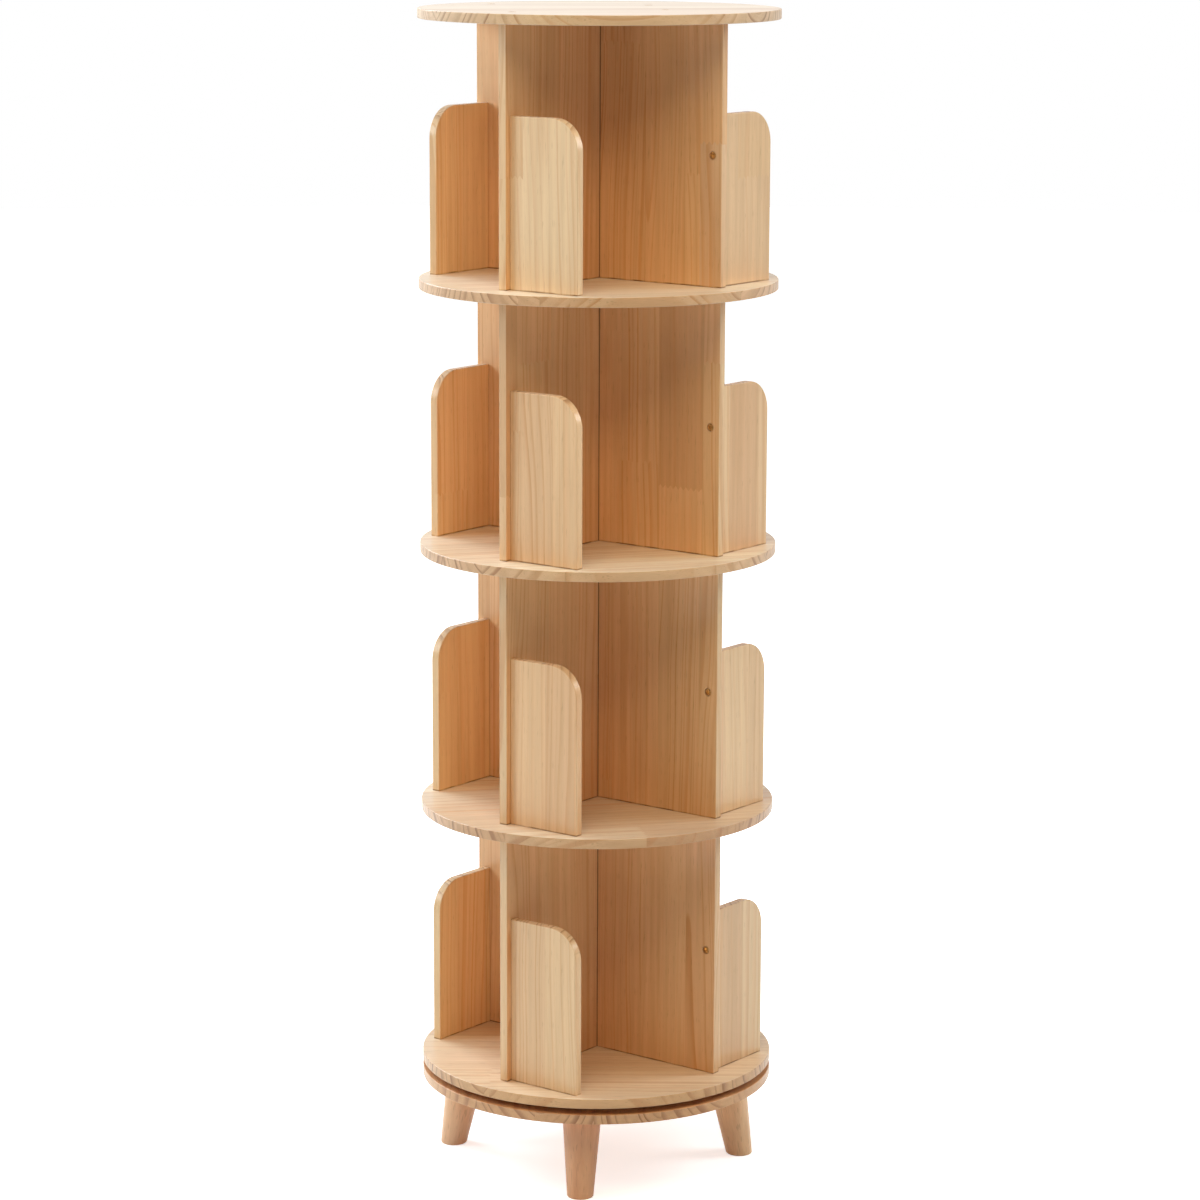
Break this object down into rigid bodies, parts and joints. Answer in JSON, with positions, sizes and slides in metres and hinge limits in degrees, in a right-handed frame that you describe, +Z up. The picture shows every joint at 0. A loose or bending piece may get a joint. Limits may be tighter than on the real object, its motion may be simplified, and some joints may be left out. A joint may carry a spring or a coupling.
{
  "type": "revolving bookcase",
  "caption": "Floor-standing revolving bookcase: round shelves with pinwheel book bays turn as one carousel on a low ball turntable over a round base with splayed legs.",
  "frame": {"origin": "on the floor, on the turning axis, midway between the feet", "axes": "+Z up along the turning axis; -Y along the front arm of the crosses and +X along the right arm"},
  "size_m": [0.3999, 0.4, 1.31],
  "materials": {
    "pine": "clear matt lacquer on edge-glued pine",
    "leg_wood": "clear satin lacquer on turned hardwood",
    "bronze": "bronze plated",
    "screw_steel": "zinc plated",
    "ring_aluminium": "turned",
    "ball_steel": "polished",
    "spacer_nylon": "moulded"
  },
  "bodies": {
    "base": {"base_disc": "pine", "leg_1": "leg_wood", "leg_2": "leg_wood", "leg_3": "leg_wood", "leg_4": "leg_wood", "leg_screws": "screw_steel", "bearing_outer_ring": "ring_aluminium", "outer_ring_screws": "screw_steel"},
    "carousel": {"bearing_inner_ring": "ring_aluminium", "inner_ring_screws": "screw_steel", "shelf_1": "pine", "shelf_2": "pine", "shelf_3": "pine", "shelf_4": "pine", "top_disc": "pine", "top_disc_screws": "bronze", "shelf_screws": "screw_steel", "bottom_shelf_screws": "screw_steel", "tier_1_wall_left_right": "pine", "tier_1_wall_front_back": "pine", "tier_2_wall_left_right": "pine", "tier_2_wall_front_back": "pine", "tier_3_wall_left_right": "pine", "tier_3_wall_front_back": "pine", "tier_4_wall_left_right": "pine", "tier_4_wall_front_back": "pine", "tier_1_divider_front": "pine", "tier_1_divider_right": "pine", "tier_1_divider_back": "pine", "tier_1_divider_left": "pine", "tier_2_divider_front": "pine", "tier_2_divider_right": "pine", "tier_2_divider_back": "pine", "tier_2_divider_left": "pine", "tier_3_divider_front": "pine", "tier_3_divider_right": "pine", "tier_3_divider_back": "pine", "tier_3_divider_left": "pine", "tier_4_divider_front": "pine", "tier_4_divider_right": "pine", "tier_4_divider_back": "pine", "tier_4_divider_left": "pine", "divider_screws": "bronze"},
    "ball_set": {"bearing_balls": "ball_steel", "ball_spacers": "spacer_nylon"}
  },
  "joints": [
    {"name": "carousel_spin", "type": "hinge", "parent": "base", "child": "carousel", "pos_m": [0, 0, 0.10945], "axis": [0, 0, 1], "continuous": true},
    {"name": "ball_orbit", "type": "hinge", "parent": "base", "child": "ball_set", "pos_m": [0, 0, 0.10945], "axis": [0, 0, 1], "continuous": true}
  ],
  "couplings": [
    {"joint": "ball_orbit", "follows": "carousel_spin", "ratio": 0.4872}
  ]
}
